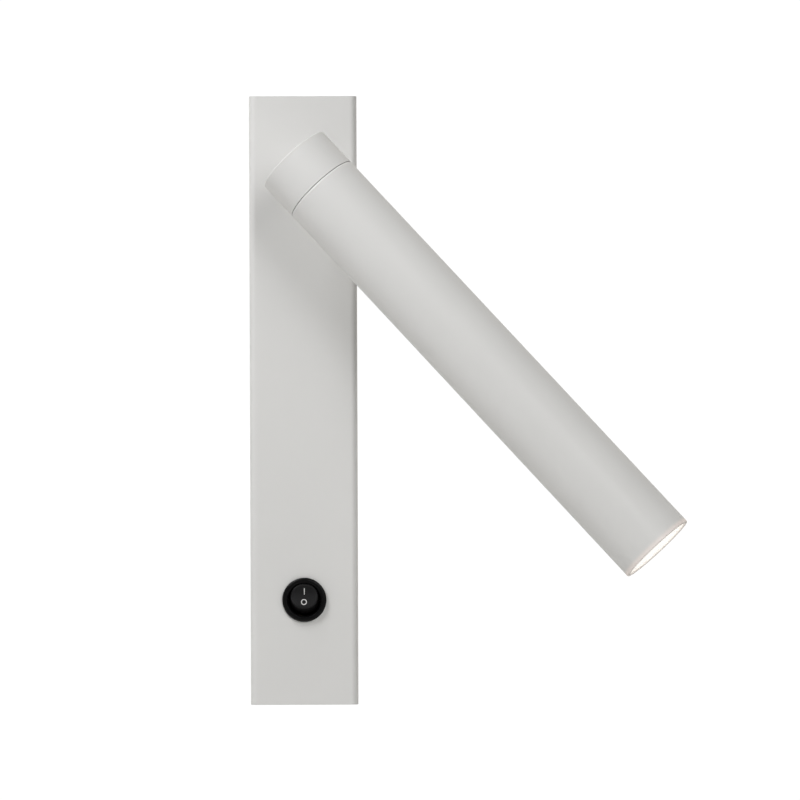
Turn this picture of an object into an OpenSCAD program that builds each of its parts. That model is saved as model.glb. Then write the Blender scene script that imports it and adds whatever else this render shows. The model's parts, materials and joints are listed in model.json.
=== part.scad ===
// Bedside wall reading lamp: a tall sheet metal base with a rocker switch, and a
// round tube head that swivels and tilts in front of it.
// Millimetres. The wall is the plane y = 0, the front faces -Y, up is +Z and the
// origin is midway between the two wall screws. The lamp is drawn as photographed.

/* [Base] */
// Width of the base
base_w = 55; // [45:1:80]
// Height of the base
base_h = 311; // [240:1:400]
// Distance from the wall to the front face
base_d = 30; // [26:0.5:45]
// Radius of the two long front edges
edge_r = 3.5; // [1:0.5:6]
// Sheet thickness of the cover
cover_t = 1.5; // [1:0.1:2]
// Sheet thickness of the wall bracket
bracket_t = 1.5; // [1:0.1:2.5]
// Distance between the two wall screws
wall_pitch = 276; // [200:1:290]
// Radius of the wall screw holes
wall_hole_r = 2.5; // [2:0.1:3.5]
// Height of the mains cable entry, from the middle
entry_z = -48; // [-60:1:-40]

/* [Head] */
// Radius of the head tube
head_r = 20; // [15:0.5:30]
// Full length of the head
head_len = 268; // [200:1:320]
// Length of the rear cap
cap_len = 20.4; // [18:0.1:30]
// Gap between the rear cap and the tube
seam = 0.4; // [0.2:0.1:1]
// Wall of the head tube
tube_t = 1.7; // [1:0.1:3]
// Distance from the rear face to the hinge pin
pin_back = 6.5; // [5.5:0.1:9]

/* [Joints] */
// Height of the swivel above the middle of the base
swivel_z = 116.5; // [100:0.5:120]
// Distance from the front face of the base to the hinge pin
pin_front = 44; // [40:0.5:60]
// Angle of the head from straight down, towards the right, as drawn
rest_swivel = 42.6; // [-170:0.1:170]
// Angle of the head out from the wall, as drawn
rest_tilt = 9.4; // [0:0.1:90]

/* [Switch] */
// Distance of the switch below the middle of the base
switch_drop = 101.8; // [95:0.1:115]
// Radius of the bezel of the switch
bezel_r = 11.3; // [10.8:0.1:14]
// Half of the rocker's travel
rocker_swing = 14; // [8:1:16]
// Half of the travel of the contact lever inside the switch
lever_swing = 6; // [3:1:8]

/* [Hidden] */
$fn = 64;
gap = 0.05;
face_y = -base_d;
inner_y = face_y + cover_t;
pin_y = face_y - pin_front;
switch_z = -switch_drop;
end_z = base_h / 2;

// Swivel stack, from the front face inwards
collar_r = 9;
collar_t = 2;
face_washer_t = 1;
shank_r = 6;
plate_t = 2;
plate_w = 40;
plate_y = inner_y + plate_t;
washer_t = 1;
stop_t = 1.2;
stop_pin_r = 1;
stop_circle = 10.5;
stop_y = plate_y + washer_t;
wave_y = stop_y + stop_t;
wave_t = 1;
nut_y = wave_y + wave_t;
nut_t = 5;
shank_end = nut_y + nut_t + 3;
flat_z = 5.2;

// Hinge
pin_r = 2;
knuckle_r = 5;
tongue_t = 6;
friction_t = 0.8;
slot_half = tongue_t / 2 + friction_t + 2 * gap;
slot_floor = knuckle_r + 0.2;
tongue_len = 22;
neck_r = 5;
cable_r = 1.5;
cable_off = 11;
cable_hole_r = 2.1;

// Head, along its own axis: the pin is at zero and the lens end is below
rear_z = pin_back;
cap_z = rear_z - cap_len;
tube_top = cap_z - seam;
lens_z = rear_z - head_len;
bore_r = head_r - tube_t;
spigot_len = 8;
board_z = lens_z + 23.9;
board_t = 1.6;
sink_t = 6;
sink_z = board_z + board_t;

// Cover screws
screw_y = -9;
screw_r = 1.5;
countersink_r = 2.75;
countersink_t = 1.25;

// Driver box inside the base
driver_w = 34;
driver_h = 70;
driver_d = 18;
driver_z = 30;
lug_h = 8;
lug_t = 2;
lead_r = 1.1;
lead_y = -9.5;
lead_x = 20;
lead_bend = 1.3;
low_y = -4;
live_x = 9;
neutral_x = -5;

// Terminal block
block_z = -10;
block_h = 17;
pole = 9.5;
block_top = block_z + block_h / 2;
earth_x = 14;
earth_z = 14;
earth_y = -3.2;

// Switch, along y
rocker_y = face_y + 5.1;
barrel_r = 9.95;
opening_r = 8.3;
flare = 0.8;
barrel_end = face_y + 16;
floor_y = barrel_end - 2.5;
lever_y = floor_y - 1.4;
ridge = 7.2;
plunger_len = 4.4;
mark_x = -0.2;
tab_z = -6;
tab_w = 4.8;
tab_t = 0.8;
tab_end = barrel_end + 7.5;

// A bar along X, centred on zero
module bar_x(r, len) {
  rotate([0, 90, 0]) cylinder(r = r, h = len, center = true);
}

// A disc or bar along Y between two depths
module disc_y(r, y0, y1) {
  translate([0, y1, 0]) rotate([90, 0, 0]) cylinder(r = r, h = y1 - y0);
}

// A block between two corners
module block(low, high) {
  translate(low) cube(high - low);
}

// A straight rod between two points
module rod(a, b, r) {
  d = b - a;
  len = norm(d);
  translate(a)
    rotate([0, acos(d[2] / len), atan2(d[1], d[0])])
      cylinder(r = r, h = len);
}

// The elbow where a lead turns squarely from direction d1 to direction d2
module elbow(corner, d1, d2, r, bend) {
  up = cross(-d2, d1);
  c = corner + bend * (d2 - d1);
  multmatrix([
    [-d2[0], d1[0], up[0], c[0]],
    [-d2[1], d1[1], up[1], c[1]],
    [-d2[2], d1[2], up[2], c[2]],
    [0, 0, 0, 1]
  ])
    rotate_extrude(angle = 90) translate([bend, 0]) circle(r);
}

// An insulated lead through a list of points, each turn square and rounded
module lead(points, r, bend) {
  last = len(points) - 1;
  way = [for (i = [0 : last - 1])
    (points[i + 1] - points[i]) / norm(points[i + 1] - points[i])];
  cut = [for (i = [0 : last]) i == 0 || i == last ? 0 : bend];
  for (i = [0 : last - 1])
    rod(points[i] + cut[i] * way[i], points[i + 1] - cut[i + 1] * way[i], r);
  for (i = [1 : last - 1])
    elbow(points[i], way[i - 1], way[i], r, bend);
}

// A flat bottomed pan head screw along Y, its head towards the front
module pan_screw(r, head_r, seat_y, head_t, end_y) {
  difference() {
    union() {
      disc_y(head_r, seat_y - head_t, seat_y);
      disc_y(r, seat_y, end_y);
    }
    block([-head_r, seat_y - head_t - 1, -0.4],
      [head_r, seat_y - head_t + 0.8, 0.4]);
  }
}

// The pose of the stem: turned with the head about the swivel axis
module swivel_pose() {
  translate([0, pin_y, swivel_z]) rotate([0, -rest_swivel, 0]) children();
}

// The pose of the head: tilted out about the hinge pin as well
module head_pose() {
  swivel_pose() rotate([-rest_tilt, 0, 0]) children();
}

// The switch is drawn on its own axis and moved down the base
module switch_pose() {
  translate([0, 0, switch_z]) children();
}

// Folded cover profile, seen from above
module cover_profile(w, front, back, r) {
  translate([-w / 2 + r, front]) square([w - 2 * r, back - front]);
  translate([-w / 2, front + r]) square([w, back - front - r]);
  for (s = [-1, 1]) translate([s * (w / 2 - r), front + r]) circle(r);
}

module wall_bracket() color("silver") {
  tab_z0 = end_z - cover_t - 0.2 - bracket_t;
  plate_half = base_w / 2 - cover_t - 0.3;
  difference() {
    union() {
      block([-plate_half, -bracket_t, -tab_z0], [plate_half, 0, tab_z0]);
      for (s = [-1, 1])
        translate([0, 0, s * (tab_z0 + bracket_t / 2)])
          block([-15, -16, -bracket_t / 2], [15, 0, bracket_t / 2]);
    }
    for (s = [-1, 1]) {
      translate([0, 0, s * wall_pitch / 2]) disc_y(wall_hole_r, -5, 5);
      translate([0, screw_y, s * tab_z0]) cylinder(r = screw_r + 0.02, h = 8, center = true);
    }
    translate([0, 0, entry_z]) disc_y(8, -5, 5);
    translate([pole / 2, 0, block_z]) disc_y(1.27, -5, 5);
    translate([earth_x, 0, earth_z]) disc_y(2.02, -5, 5);
    for (z = [driver_z - lug_h / 2, driver_z + driver_h + lug_h / 2])
      translate([0, 0, z]) disc_y(1.52, -5, 5);
  }
}

module front_cover() color("white") {
  difference() {
    translate([0, 0, -end_z]) linear_extrude(base_h)
      cover_profile(base_w, face_y, -0.5, edge_r);
    translate([0, 0, -end_z + cover_t]) linear_extrude(base_h - 2 * cover_t)
      cover_profile(base_w - 2 * cover_t, inner_y, 5, edge_r - cover_t);
    translate([0, 0, swivel_z]) disc_y(shank_r + 0.3, face_y - 5, inner_y + 5);
    translate([0, 0, switch_z]) disc_y(barrel_r + 0.1, face_y - 5, inner_y + 5);
    for (s = [0, 180]) rotate([0, s, 0]) translate([0, screw_y, end_z]) {
      cylinder(r = screw_r + 0.15, h = 10, center = true);
      translate([0, 0, -countersink_t])
        cylinder(r1 = screw_r + 0.1, r2 = countersink_r + 0.1, h = countersink_t);
    }
  }
}

module cover_screws() color("silver") {
  for (s = [0, 180]) rotate([0, s, 0]) translate([0, screw_y, end_z - 0.05])
    difference() {
      union() {
        translate([0, 0, -countersink_t])
          cylinder(r1 = screw_r, r2 = countersink_r, h = countersink_t);
        translate([0, 0, -8]) cylinder(r = screw_r, h = 8 - countersink_t);
      }
      translate([0, 0, -1]) cylinder(r = 1.15, h = 3, $fn = 6);
    }
}

module swivel_plate() color("silver") {
  difference() {
    block([-plate_w / 2, inner_y, swivel_z - plate_w / 2],
      [plate_w / 2, plate_y, swivel_z + plate_w / 2]);
    translate([0, 0, swivel_z]) disc_y(shank_r + gap, inner_y - 5, plate_y + 5);
    translate([0, 0, swivel_z + stop_circle])
      disc_y(stop_pin_r, plate_y - 1.5, plate_y + 5);
  }
}

// Stops the head from turning round and round and twisting the cable
module stop_pin() color("silver") {
  translate([0, 0, swivel_z + stop_circle])
    disc_y(stop_pin_r, plate_y - 1.5, wave_y + 0.2);
}

module face_washer() color("white") {
  translate([0, 0, swivel_z]) difference() {
    disc_y(collar_r, face_y - face_washer_t, face_y);
    disc_y(shank_r + gap, face_y - 5, face_y + 5);
  }
}

module inner_washer() color("white") {
  translate([0, 0, swivel_z]) difference() {
    disc_y(collar_r, plate_y, plate_y + washer_t - 0.02);
    disc_y(shank_r + gap, plate_y - 5, plate_y + 5);
  }
}

module cable_grommet() color("dimgray") {
  translate([0, 0, entry_z]) difference() {
    union() {
      disc_y(7.95, -bracket_t, 0);
      disc_y(10, -bracket_t - 1.5, -bracket_t);
    }
    disc_y(4.5, -10, 5);
  }
}

module terminal_block() color("ivory") {
  difference() {
    union() {
      block([-15, -9, block_z - block_h / 2], [15, -bracket_t, block_top]);
      for (x = [-pole, 0, pole])
        block([x - 3.8, -15, block_z - block_h / 2], [x + 3.8, -9, block_top]);
    }
    for (x = [-pole, 0, pole]) translate([x, lead_y, block_z]) {
      cylinder(r = 2.5, h = block_h + 2, center = true);
      for (z = [-4.5, 4.5]) translate([0, 0, z]) disc_y(1.6, -10, 0);
    }
    translate([pole / 2, 0, block_z]) disc_y(1.6, -20, 0);
  }
}

// Brass tubes that the screws clamp the wires in
module terminal_inserts() color("gold") {
  for (x = [-pole, 0, pole]) translate([x, lead_y, block_z]) difference() {
    cylinder(r = 2.45, h = block_h - 1, center = true);
    cylinder(r = 1.6, h = block_h + 2, center = true);
    for (z = [-4.5, 4.5]) translate([0, 0, z]) disc_y(1.5, -10, 0);
  }
}

module terminal_screws() color("silver") {
  for (x = [-pole, 0, pole]) for (z = [-4.5, 4.5])
    translate([x, 0, block_z + z]) difference() {
      disc_y(1.45, -14, lead_y - 1.3);
      block([-2, -15, -0.3], [2, -13.2, 0.3]);
    }
}

module terminal_fixing() color("silver") {
  translate([pole / 2, 0, block_z]) difference() {
    union() {
      disc_y(1.25, -9, -0.3);
      disc_y(0.9, -10.6, -9);
    }
    block([-2, -11, -0.2], [2, -10, 0.2]);
  }
}

module earth_ring() color("gold") {
  translate([earth_x, 0, earth_z]) difference() {
    union() {
      disc_y(4, -bracket_t - 0.8, -bracket_t);
      block([-1.5, -bracket_t - 0.8, -6], [1.5, -bracket_t, -3]);
      translate([0, earth_y, -10]) cylinder(r = 1.6, h = 4.5);
    }
    disc_y(2.1, -10, 0);
    translate([0, earth_y, -11]) cylinder(r = lead_r + 0.02, h = 6);
  }
}

module earth_screw() color("silver") {
  translate([earth_x, 0, earth_z])
    pan_screw(2, 3.8, -bracket_t - 0.8, 2.4, -0.2);
}

module driver_case() color("whitesmoke") {
  mid_y = -bracket_t - driver_d / 2;
  difference() {
    union() {
      block([-driver_w / 2, -bracket_t - driver_d, driver_z],
        [driver_w / 2, -bracket_t, driver_z + driver_h]);
      block([-8, -bracket_t - lug_t, driver_z - lug_h],
        [8, -bracket_t, driver_z + driver_h + lug_h]);
    }
    for (z = [driver_z - lug_h / 2, driver_z + driver_h + lug_h / 2])
      translate([0, 0, z]) disc_y(1.7, -10, 0);
    for (x = [neutral_x, live_x]) translate([x, lead_y, driver_z - 1])
      cylinder(r = lead_r + 0.02, h = 4);
    translate([0, lead_y, driver_z + driver_h - 3]) cylinder(r = cable_r + 0.02, h = 4);
    // Line where the lid of the case meets its tray
    for (s = [-1, 1]) translate([s * driver_w / 2, mid_y, driver_z + driver_h / 2])
      cube([0.8, 0.5, driver_h + 2], center = true);
  }
}

module driver_screws() color("silver") {
  for (z = [driver_z - lug_h / 2, driver_z + driver_h + lug_h / 2])
    translate([0, 0, z]) pan_screw(1.5, 2.8, -bracket_t - lug_t, 2.2, -0.2);
}

module switch_housing() color("black") switch_pose() {
  difference() {
    union() {
      rotate([90, 0, 0]) rotate_extrude()
        polygon([
          [0, -face_y], [bezel_r, -face_y], [bezel_r, 1 - face_y],
          [bezel_r - 0.4, 1.6 - face_y], [bezel_r - 1.1, 2 - face_y],
          [0, 2 - face_y]
        ]);
      disc_y(barrel_r, face_y, barrel_end);
      for (s = [-1, 1]) translate([0, 0, s * 10.3])
        block([-2, inner_y + 0.1, -0.8], [2, inner_y + 5, 0.8]);
    }
    disc_y(opening_r, face_y - 5, floor_y);
    rotate([90, 0, 0]) translate([0, 0, 2 - flare - face_y])
      cylinder(r1 = opening_r, r2 = opening_r + 2 * flare, h = 2 * flare);
    translate([0, rocker_y, 0]) bar_x(1.25, 3 * barrel_r);
    for (z = [0, tab_z]) translate([0, barrel_end, z])
      cube([tab_w + 0.04, 8, tab_t + 0.04], center = true);
  }
}

module switch_tabs() color("gold") switch_pose() {
  for (z = [0, tab_z])
    block([-tab_w / 2, floor_y, z - tab_t / 2], [tab_w / 2, tab_end, z + tab_t / 2]);
  difference() {
    block([-2, lever_y, -1.3], [2, floor_y, 1.3]);
    translate([0, lever_y, 0]) bar_x(0.65, 10);
  }
  translate([0, 0, tab_z]) disc_y(1.4, floor_y - 0.8, floor_y);
}

// Insulated push-on receptacles
module tab_sleeves() color("white") switch_pose() {
  for (z = [0, tab_z]) translate([0, 0, z]) difference() {
    block([-2.9, barrel_end + 0.3, -1.3], [2.9, tab_end + 1, 1.3]);
    block([-tab_w / 2 - 0.02, barrel_end, -tab_t / 2 - 0.02],
      [tab_w / 2 + 0.02, tab_end + 0.02, tab_t / 2 + 0.02]);
  }
}

module lead_live() color("brown") {
  lead([
    [-pole, lead_y, block_top - 5], [-pole, lead_y, 6], [-lead_x, lead_y, 6],
    [-lead_x, lead_y, switch_z], [-lead_x, low_y, switch_z],
    [0, low_y, switch_z], [0, tab_end + 1, switch_z]
  ], lead_r, lead_bend);
}

module lead_switched() color("black") {
  low_z = switch_z + tab_z;
  lead([
    [0, tab_end + 1, low_z], [0, low_y, low_z], [lead_x, low_y, low_z],
    [lead_x, lead_y, low_z], [lead_x, lead_y, driver_z - 6],
    [live_x, lead_y, driver_z - 6], [live_x, lead_y, driver_z + 3]
  ], lead_r, lead_bend);
}

module lead_neutral() color("blue") {
  lead([
    [0, lead_y, block_top - 5], [0, lead_y, 12], [neutral_x, lead_y, 12],
    [neutral_x, lead_y, driver_z + 3]
  ], lead_r, lead_bend);
}

module lead_earth() color("green") {
  lead([
    [pole, lead_y, block_top - 5], [pole, lead_y, block_top + 2],
    [earth_x, lead_y, block_top + 2], [earth_x, earth_y, block_top + 2],
    [earth_x, earth_y, earth_z - 6]
  ], lead_r, lead_bend);
}

module led_cable_base() color("gray") {
  lead([
    [0, lead_y, driver_z + driver_h - 3], [0, lead_y, swivel_z],
    [0, shank_end + 0.7, swivel_z]
  ], cable_r, 4);
}

// The rocker in the middle of its travel, on its own axis
module rocker_shape() {
  rotate([90, 0, 0]) translate([0, 0, 1])
    cylinder(r1 = 7.7, r2 = 6.15, h = 8.5);
  disc_y(6.5, -1, 1.5);
  bar_x(2.2, 15);
  bar_x(1.2, 19.4);
}

module rocker_pose() {
  switch_pose() translate([0, rocker_y, 0]) rotate([-rocker_swing, 0, 0]) children();
}

module rocker() color("black") rocker_pose() {
  difference() {
    rocker_shape();
    for (s = [-1, 1]) translate([0, -ridge, 0]) rotate([s * rocker_swing, 0, 0])
      block([-10, -10, s < 0 ? -20 : -0.01], [10, 0, s < 0 ? 0.01 : 20]);
    disc_y(1.25, -0.5, 3);
  }
}

// The I and O marks, printed on the two halves of the rocker
module rocker_marks() color("white") rocker_pose() {
  translate([0, -ridge, 0]) rotate([rocker_swing, 0, 0])
    block([mark_x - 0.25, -0.12, 0.9], [mark_x + 0.25, 0, 4.2]);
  translate([0, -ridge, 0]) rotate([-rocker_swing, 0, 0]) translate([mark_x, 0, -3.1])
    difference() {
      disc_y(1.55, -0.12, 0);
      disc_y(1.05, -1, 1);
    }
}

// Sprung plunger that tips the contact lever over
module rocker_plunger() color("silver") rocker_pose() {
  disc_y(1.2, -0.5, plunger_len);
  translate([0, plunger_len, 0]) sphere(r = 1.2);
}

module contact_lever() color("gold")
  switch_pose() translate([0, lever_y, 0]) rotate([lever_swing, 0, 0]) {
    block([-1.75, -1.1, -7], [1.75, -0.3, 7]);
    bar_x(0.6, 3.8);
  }

// The swivel parts are drawn with the hinge pin at zero and the wall towards +Y
module swivel_stem() color("white") swivel_pose() {
  collar_y = pin_front - face_washer_t - collar_t;
  difference() {
    union() {
      bar_x(knuckle_r, tongue_t);
      block([-tongue_t / 2, 0, -knuckle_r], [tongue_t / 2, tongue_len, knuckle_r]);
      disc_y(neck_r, tongue_len, collar_y);
      disc_y(collar_r, collar_y, collar_y + collar_t);
      disc_y(shank_r, collar_y + collar_t, shank_end - pin_y);
    }
    bar_x(pin_r + gap, 20);
    disc_y(cable_hole_r, cable_off, 200);
    translate([0, cable_off, 0]) sphere(r = cable_hole_r);
    translate([0, cable_off, -20]) cylinder(r = cable_hole_r, h = 20);
    block([-20, stop_y - pin_y, -20], [20, 200, -flat_z]);
  }
}

module stop_washer() color("silver") swivel_pose() {
  difference() {
    union() {
      disc_y(8.5, stop_y - pin_y, wave_y - pin_y);
      block([-0.75, stop_y - pin_y, -11.6], [0.75, wave_y - pin_y, -7]);
    }
    difference() {
      disc_y(shank_r + 0.03, 0, 200);
      block([-20, 0, -20], [20, 200, -flat_z - 0.02]);
    }
  }
}

module wave_washer() color("silver") swivel_pose() {
  difference() {
    disc_y(8, wave_y - pin_y + 0.02, nut_y - pin_y - 0.02);
    disc_y(shank_r + 0.1, 0, 200);
  }
}

module swivel_nut() color("silver") swivel_pose() {
  difference() {
    translate([0, nut_y - pin_y + nut_t, 0]) rotate([90, 0, 0])
      cylinder(r = 9.8, h = nut_t, $fn = 6);
    disc_y(shank_r + 0.03, 0, 200);
  }
}

module led_cable_stem() color("gray") swivel_pose() {
  lead([
    [0, shank_end - pin_y + 0.3, 0], [0, cable_off, 0], [0, cable_off, -4.9]
  ], cable_r, 3);
}

module rear_cap() color("white") head_pose() {
  difference() {
    rotate_extrude() polygon([
      [0, rear_z], [head_r - 0.5, rear_z], [head_r, rear_z - 0.5],
      [head_r, cap_z + 0.3], [head_r - 0.3, cap_z], [bore_r - gap, cap_z],
      [bore_r - gap, cap_z - spigot_len], [bore_r - 3, cap_z - spigot_len],
      [bore_r - 3, cap_z + 2], [0, cap_z + 2]
    ]);
    // Slot for the tongue, open towards the wall and the rear
    block([-slot_half, 0, -slot_floor], [slot_half, 30, 20]);
    block([-slot_half, -slot_floor, 0], [slot_half, 30, 20]);
    bar_x(slot_floor, 2 * slot_half);
    bar_x(pin_r + 0.02, 50);
    translate([0, cable_off, -20]) cylinder(r = cable_hole_r, h = 20);
  }
}

module hinge_pin() color("silver") head_pose() bar_x(pin_r, 2 * head_r - 0.4);

module friction_washers() color("tan") head_pose() {
  for (s = [-1, 1]) translate([s * (slot_half + tongue_t / 2) / 2, 0, 0])
    difference() {
      bar_x(knuckle_r, friction_t);
      bar_x(pin_r + 0.02, 10);
    }
}

module head_tube() color("white") head_pose() rotate_extrude() polygon([
  [bore_r, tube_top], [head_r - 0.3, tube_top], [head_r, tube_top - 0.3],
  [head_r, lens_z + 0.4], [head_r - 0.4, lens_z], [bore_r + 0.2, lens_z],
  [bore_r, lens_z + 0.2]
]);

// Disc that carries the board, with fins in the air space behind it
module heatsink() color("silver") head_pose() difference() {
  union() {
    translate([0, 0, sink_z]) cylinder(r = bore_r - gap, h = sink_t);
    intersection() {
      translate([0, 0, sink_z + 3]) cylinder(r = 16.5, h = 17);
      for (x = [-14, -9.5, -5, 5, 9.5, 14])
        block([x - 1, -20, sink_z], [x + 1, 20, sink_z + 30]);
    }
  }
  translate([0, cable_off, sink_z - 1]) cylinder(r = cable_hole_r, h = 30);
  for (x = [-12.5, 12.5]) translate([x, -3, sink_z - 1]) cylinder(r = 1.27, h = 6);
}

module led_board() color("white") head_pose() difference() {
  translate([0, 0, board_z]) cylinder(r = 16, h = board_t);
  translate([0, cable_off, board_z - 1]) cylinder(r = 1.6, h = 4);
  for (x = [-12.5, 12.5]) translate([x, -3, board_z - 1]) cylinder(r = 1.4, h = 4);
}

module leds() color("khaki") head_pose() translate([0, 0, board_z - 0.35]) {
  cube([3, 3, 0.7], center = true);
  for (a = [0 : 60 : 300]) rotate([0, 0, a]) translate([4.3, 0, 0])
    cube([2.8, 2.8, 0.7], center = true);
}

module board_screws() color("silver") head_pose()
  for (x = [-12.5, 12.5]) translate([x, -3, board_z]) difference() {
    union() {
      translate([0, 0, -1.5]) cylinder(r = 2.2, h = 1.5);
      cylinder(r = 1.25, h = 6);
    }
    translate([0, 0, -2]) cube([0.5, 5, 2.4], center = true);
  }

module reflector() color("white") head_pose() rotate_extrude() polygon([
  [6.4, board_z - 0.05], [7.6, board_z - 0.05], [16.7, lens_z + 5.6],
  [bore_r - gap, lens_z + 5.6], [bore_r - gap, lens_z + 4],
  [15.6, lens_z + 4]
]);

module diffuser() color("white") head_pose()
  translate([0, 0, lens_z + 0.8]) cylinder(r = bore_r - 0.45, h = 2.8);

module lens_ring() color("white") head_pose() rotate_extrude() polygon([
  [bore_r - gap, lens_z + 0.3], [bore_r - 0.95, lens_z + 0.3],
  [bore_r - 0.95, lens_z + 0.75], [bore_r - 0.4, lens_z + 0.75],
  [bore_r - 0.4, lens_z + 3.95], [bore_r - gap, lens_z + 3.95]
]);

module led_cable_head() color("gray") head_pose()
  rod([0, cable_off, -slot_floor - 0.2], [0, cable_off, sink_z + 2], cable_r);

// The two cores of the cable, soldered to pads on the front of the board
module core(side) {
  front = board_z - 1.7;
  lead([
    [side * 0.7, cable_off, sink_z + 1.9], [side * 0.7, cable_off, front],
    [side * 4, cable_off, front], [side * 4, cable_off, board_z - 0.02]
  ], 0.45, 0.6);
}

module led_wire_red() color("red") head_pose() core(1);

module led_wire_black() color("black") head_pose() core(-1);

wall_bracket();
front_cover();
cover_screws();
swivel_plate();
stop_pin();
face_washer();
inner_washer();
cable_grommet();
terminal_block();
terminal_inserts();
terminal_screws();
terminal_fixing();
earth_ring();
earth_screw();
driver_case();
driver_screws();
switch_housing();
switch_tabs();
tab_sleeves();
lead_live();
lead_switched();
lead_neutral();
lead_earth();
led_cable_base();
rocker();
rocker_marks();
rocker_plunger();
contact_lever();
swivel_stem();
stop_washer();
wave_washer();
swivel_nut();
led_cable_stem();
rear_cap();
hinge_pin();
friction_washers();
head_tube();
heatsink();
led_board();
leds();
board_screws();
reflector();
diffuser();
lens_ring();
led_cable_head();
led_wire_red();
led_wire_black();
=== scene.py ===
# %% [markdown]
# # A bedside reading lamp for the wall
# The lamp is a tall, narrow box of white painted sheet steel with a round rocker switch low on its
# front, and a slim tube head that swivels and tilts in front of it. The imported model already holds
# every piece at its real size, joined by its joints. This lesson dresses that model: it rebuilds the
# pieces that show with fine edges and round curves, and gives every piece a finish made of nodes.
# The frame is loaded first. The dressed lamp has to stay the same size.

# %% Load the frame
import json
import math

import bmesh
import bpy
from mathutils import Matrix, Vector


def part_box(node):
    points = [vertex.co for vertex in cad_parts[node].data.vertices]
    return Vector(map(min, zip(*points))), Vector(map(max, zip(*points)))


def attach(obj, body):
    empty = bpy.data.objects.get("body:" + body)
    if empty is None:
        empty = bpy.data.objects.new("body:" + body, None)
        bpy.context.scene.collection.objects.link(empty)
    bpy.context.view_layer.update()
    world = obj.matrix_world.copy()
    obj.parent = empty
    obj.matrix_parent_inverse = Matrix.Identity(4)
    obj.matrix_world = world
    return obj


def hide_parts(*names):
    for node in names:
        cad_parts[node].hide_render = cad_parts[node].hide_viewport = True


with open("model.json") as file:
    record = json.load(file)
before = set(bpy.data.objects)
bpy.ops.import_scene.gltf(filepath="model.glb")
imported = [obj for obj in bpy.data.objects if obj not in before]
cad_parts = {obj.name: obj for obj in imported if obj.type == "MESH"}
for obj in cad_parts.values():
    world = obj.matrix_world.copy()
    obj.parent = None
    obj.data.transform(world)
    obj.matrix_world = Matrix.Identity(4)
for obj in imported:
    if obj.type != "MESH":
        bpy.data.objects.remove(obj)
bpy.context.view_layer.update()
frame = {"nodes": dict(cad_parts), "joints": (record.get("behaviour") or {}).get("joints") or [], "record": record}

MM = 0.001

# %% [markdown]
# ## The camera
# The photograph was taken from nearly straight in front with a long lens, so the long sides of the box
# stay almost parallel. The place and the turn below come from matching the drawn edges of the box, the
# tube and its seam to the same edges in the picture. A camera looks along its own -Z, so it is first
# tipped up by 90 degrees to look along +Y, and then turned by the small angles that were measured.

# %% Place the camera
LENS_MM = 211.38
camera_data = bpy.data.cameras.new("camera")
camera_data.lens = LENS_MM
camera_data.sensor_width = 36.0
camera_data.clip_start = 0.1
camera_data.clip_end = 50.0
camera = bpy.data.objects.new("camera", camera_data)
bpy.context.scene.collection.objects.link(camera)
bpy.context.scene.camera = camera

CAMERA_AT = (0.0100, -2.430, 0.0108)
YAW, PITCH, ROLL = (math.radians(a) for a in (-0.936, -0.255, 0.193))
turn = Matrix.Rotation(YAW, 4, "Z") @ Matrix.Rotation(PITCH, 4, "X") @ Matrix.Rotation(ROLL, 4, "Y")
look_level = Matrix.Rotation(math.pi / 2, 4, "X")
camera.matrix_world = Matrix.Translation(CAMERA_AT) @ turn @ look_level
print("the camera stands", -CAMERA_AT[1], "m in front of the wall")

# %% [markdown]
# ## Where things are
# Nothing here is typed in twice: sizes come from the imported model. The box of the cover gives the
# width, height and depth. The head lies at a slant, so its own axis is found from the joint record:
# the hinge pin's direction tells how far the head is swung, and the joint's lower limit tells how far
# it is tilted out from the wall. Seen from that axis, the tube stands upright and is easy to measure.

# %% Measure the frame
cover_low, cover_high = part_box("front_cover")
half_width = cover_high.x
half_height = cover_high.z
face_y = cover_low.y
rear_y = cover_high.y
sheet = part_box("swivel_plate")[0].y - face_y

joints = {j["name"]: j for j in frame["joints"]}
pin_at = Vector(joints["head_tilt"]["pos_m"])
pin_along = -Vector(joints["head_tilt"]["axis"])
swing = math.atan2(pin_along.z, pin_along.x)
tilt = -math.radians(joints["head_tilt"]["range_deg"][0])
stem_place = Matrix.Translation(pin_at) @ Matrix.Rotation(-swing, 4, "Y")
head_place = stem_place @ Matrix.Rotation(-tilt, 4, "X")


def spans(node, place):
    """How far a node reaches from the place's axis, and its lowest and highest point along it."""
    seen = [place.inverted() @ v.co for v in frame["nodes"][node].data.vertices]
    return max(math.hypot(p.x, p.y) for p in seen), min(p.z for p in seen), max(p.z for p in seen)


head_r, lens_z, tube_top = spans("head_tube", head_place)
_, spigot_end, rear_z = spans("rear_cap", head_place)
print("cover", [round(v / MM, 2) for v in (2 * half_width, 2 * half_height, rear_y - face_y, sheet)])
print("head swung", round(math.degrees(swing), 1), "and tilted", round(math.degrees(tilt), 1), "degrees")
print("tube radius and ends", [round(v / MM, 2) for v in (head_r, lens_z, tube_top, rear_z)])

# %% [markdown]
# ## The light
# The picture is a plain studio shot on white. Soft boxes high on the left make the left folds bright,
# and weaker ones on the right throw the head's faint, wide shadow down to the left. Behind the lamp
# the studio is white, and that light wraps round the sides of the tube. The front of the room is
# dark, so the black switch stays black. Area lights stand for the soft boxes. The world gets brighter
# towards the back, and it has a second, pure white side that only the camera sees.

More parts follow.
